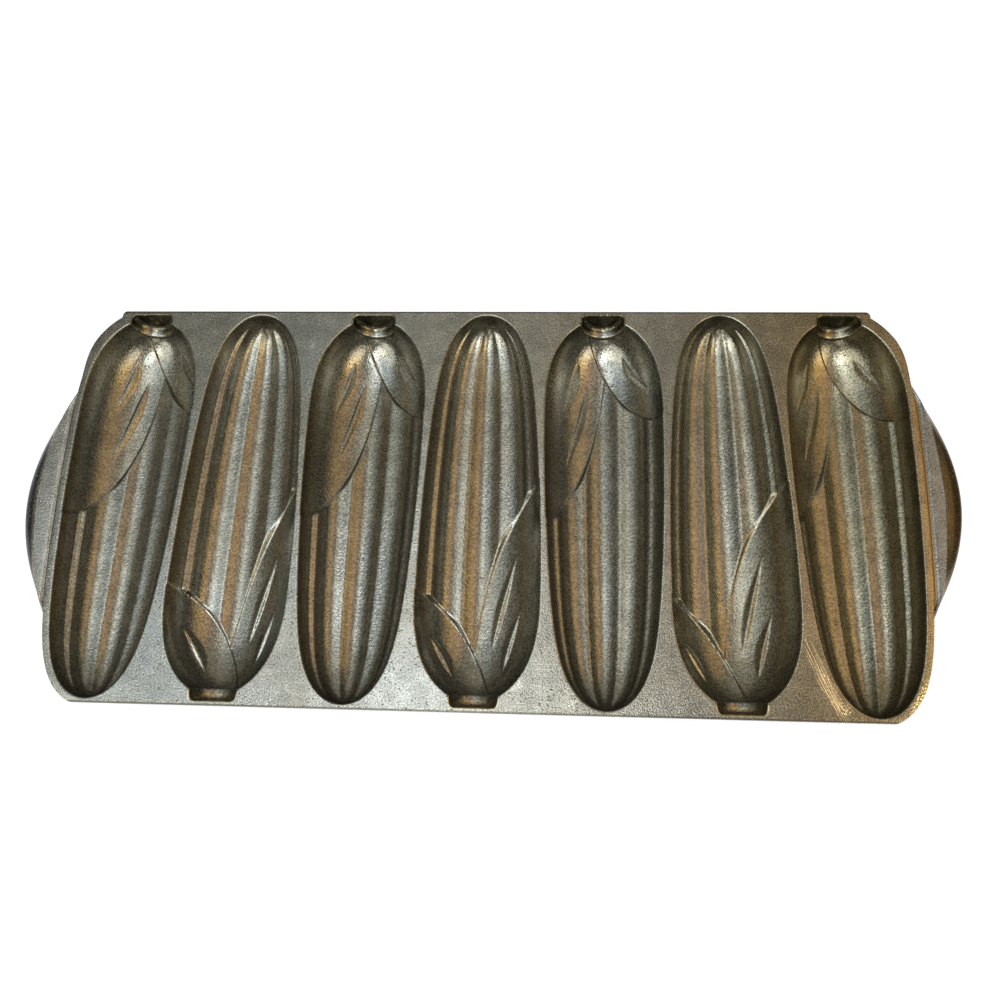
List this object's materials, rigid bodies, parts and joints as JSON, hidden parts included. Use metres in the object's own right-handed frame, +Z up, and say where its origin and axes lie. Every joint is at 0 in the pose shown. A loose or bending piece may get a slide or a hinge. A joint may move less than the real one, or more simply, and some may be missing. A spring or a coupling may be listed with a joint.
{
  "type": "cornstick pan",
  "caption": "Long cast-iron baking pan with a flat deck, a row of ear-of-corn moulds turned end for end, and a half-moon grip at each end.",
  "frame": {"origin": "under the middle of the pan, on the plane it stands on", "axes": "+X along the row of moulds, +Y along each mould away from the cook, +Z up out of the moulds"},
  "size_m": [0.3384, 0.15, 0.02],
  "materials": {
    "deck": "seasoned cast iron, worn satin on the flat",
    "moulds": "seasoned cast iron, dark satin",
    "grips": "seasoned cast iron, dull satin"
  },
  "bodies": {
    "root": {"deck_plate": "deck", "ear_cup_1": "moulds", "ear_cup_2": "moulds", "ear_cup_3": "moulds", "ear_cup_4": "moulds", "ear_cup_5": "moulds", "ear_cup_6": "moulds", "ear_cup_7": "moulds", "grip_left": "grips", "grip_right": "grips"}
  },
  "joints": []
}
